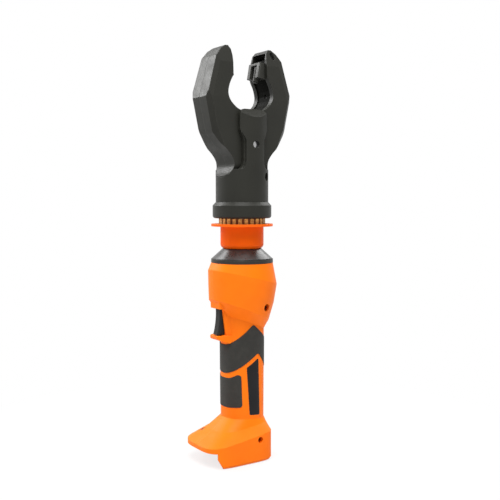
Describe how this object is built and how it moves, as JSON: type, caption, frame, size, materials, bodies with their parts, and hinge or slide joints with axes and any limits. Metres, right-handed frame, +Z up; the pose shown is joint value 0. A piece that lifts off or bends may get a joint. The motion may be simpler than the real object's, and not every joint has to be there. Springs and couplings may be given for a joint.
{
  "type": "cordless cable cutter",
  "caption": "Slim battery tool with an orange grip housing, an insulating neck and a swivelling head whose claw jaws are closed on a cable by a hydraulic ram.",
  "frame": {"origin": "on the tool's axis at the base of the foot", "axes": "+Z up the tool towards the jaws, -X towards the trigger and the toe, -Y towards the tool's left side"},
  "size_m": [0.1024, 0.0678, 0.406],
  "materials": {
    "housing_orange": "moulded, fine grain",
    "grip_rubber": "moulded, soft",
    "label_dark": "smooth inlay, bare",
    "dark_screw": "black oxide",
    "window_clear": "tinted, smooth",
    "trigger_black": "moulded",
    "spring_steel": "drawn wire",
    "contact_metal": "plated",
    "board_green": "laminate",
    "lead_black": "sheathed wire",
    "motor_steel": "plain",
    "gear_steel": "ground",
    "pump_alloy": "machined",
    "pump_steel": "ground",
    "bladder_rubber": "moulded",
    "band_black": "moulded",
    "cone_dark": "dark satin, turned",
    "sleeve_orange": "moulded, smooth",
    "guard_orange": "moulded, smooth",
    "ring_amber": "moulded",
    "cylinder_steel": "honed",
    "head_charcoal": "dark coating, satin",
    "cover_charcoal": "moulded, satin",
    "jaw_steel": "black oxide",
    "insert_grey": "phosphated"
  },
  "bodies": {
    "handle": {"left_housing": "housing_orange", "right_housing": "housing_orange", "left_upper_grip": "grip_rubber", "right_upper_grip": "grip_rubber", "left_lower_pad": "grip_rubber", "right_lower_pad": "grip_rubber", "left_label_plate": "label_dark", "right_label_plate": "label_dark", "housing_screws": "dark_screw", "status_window": "window_clear", "trigger_switch": "trigger_black", "trigger_spring": "spring_steel", "terminal_block": "trigger_black", "terminals": "contact_metal", "control_board": "board_green", "power_leads": "lead_black", "motor_can": "motor_steel", "stator": "motor_steel", "ring_gear": "gear_steel", "pump_block": "pump_alloy", "pump_plungers": "pump_steel", "relief_valve": "pump_steel", "shaft_bearing": "gear_steel", "oil_bladder": "bladder_rubber", "nose_band": "band_black", "nose_cone": "cone_dark", "neck_sleeve": "sleeve_orange", "guard_disc": "guard_orange", "swivel_ring": "ring_amber", "cylinder_tube": "cylinder_steel", "swivel_washer": "cylinder_steel", "rod_guide": "cylinder_steel", "return_spring": "spring_steel"},
    "trigger": {"trigger": "trigger_black"},
    "rotor": {"rotor": "motor_steel"},
    "carrier": {"planet_carrier": "gear_steel"},
    "planet_1": {"planet_gear_1": "gear_steel"},
    "planet_2": {"planet_gear_2": "gear_steel"},
    "planet_3": {"planet_gear_3": "gear_steel"},
    "head": {"collar": "head_charcoal", "yoke": "head_charcoal", "neck_set_screw": "dark_screw", "pivot_pin": "cylinder_steel", "pivot_clip": "dark_screw"},
    "ram": {"ram": "pump_steel", "piston_seal": "bladder_rubber"},
    "front_jaw": {"front_jaw": "jaw_steel", "front_left_cover": "cover_charcoal", "front_right_cover": "cover_charcoal", "front_insert": "insert_grey", "front_clamp_screw": "dark_screw"},
    "rear_jaw": {"rear_jaw": "jaw_steel", "rear_left_cover": "cover_charcoal", "rear_right_cover": "cover_charcoal", "rear_insert": "insert_grey", "rear_clamp_screw": "dark_screw", "rear_latch_pin": "insert_grey"}
  },
  "joints": [
    {"name": "head_swivel", "type": "hinge", "parent": "handle", "child": "head", "pos_m": [0, 0, 0.25], "axis": [0, 0, 1], "range_deg": [-175, 175]},
    {"name": "ram_slide", "type": "slide", "parent": "head", "child": "ram", "axis": [0, 0, 1], "range_m": [0, 0.01733], "stiffness_N_per_m": 1500, "springref_m": -0.01, "deforming": ["return_spring"]},
    {"name": "front_jaw_turn", "type": "hinge", "parent": "head", "child": "front_jaw", "pos_m": [0, 0, 0.3117], "axis": [0, 1, 0], "range_deg": [0, 10]},
    {"name": "rear_jaw_turn", "type": "hinge", "parent": "head", "child": "rear_jaw", "pos_m": [0, 0, 0.3117], "axis": [0, -1, 0], "range_deg": [0, 10]},
    {"name": "trigger_pull", "type": "slide", "parent": "handle", "child": "trigger", "axis": [1, 0, 0], "range_m": [0, 0.005], "stiffness_N_per_m": 900, "springref_m": -0.003, "deforming": ["trigger_spring"]},
    {"name": "rotor_spin", "type": "hinge", "parent": "handle", "child": "rotor", "pos_m": [0, 0, 0.074], "axis": [0, 0, 1], "continuous": true},
    {"name": "carrier_spin", "type": "hinge", "parent": "handle", "child": "carrier", "pos_m": [0, 0, 0.111], "axis": [0, 0, 1], "continuous": true},
    {"name": "planet_1_spin", "type": "hinge", "parent": "carrier", "child": "planet_1", "pos_m": [0.0084, 0, 0.104], "axis": [0, 0, 1], "continuous": true},
    {"name": "planet_2_spin", "type": "hinge", "parent": "carrier", "child": "planet_2", "pos_m": [-0.0042, 0.00727, 0.104], "axis": [0, 0, 1], "continuous": true},
    {"name": "planet_3_spin", "type": "hinge", "parent": "carrier", "child": "planet_3", "pos_m": [-0.0042, -0.00727, 0.104], "axis": [0, 0, 1], "continuous": true}
  ],
  "couplings": [
    {"joint": "front_jaw_turn", "follows": "ram_slide", "rad_per_m": 10.07},
    {"joint": "rear_jaw_turn", "follows": "ram_slide", "rad_per_m": 10.07},
    {"joint": "carrier_spin", "follows": "rotor_spin", "ratio": 0.25},
    {"joint": "planet_1_spin", "follows": "rotor_spin", "ratio": -0.75},
    {"joint": "planet_2_spin", "follows": "rotor_spin", "ratio": -0.75},
    {"joint": "planet_3_spin", "follows": "rotor_spin", "ratio": -0.75}
  ]
}
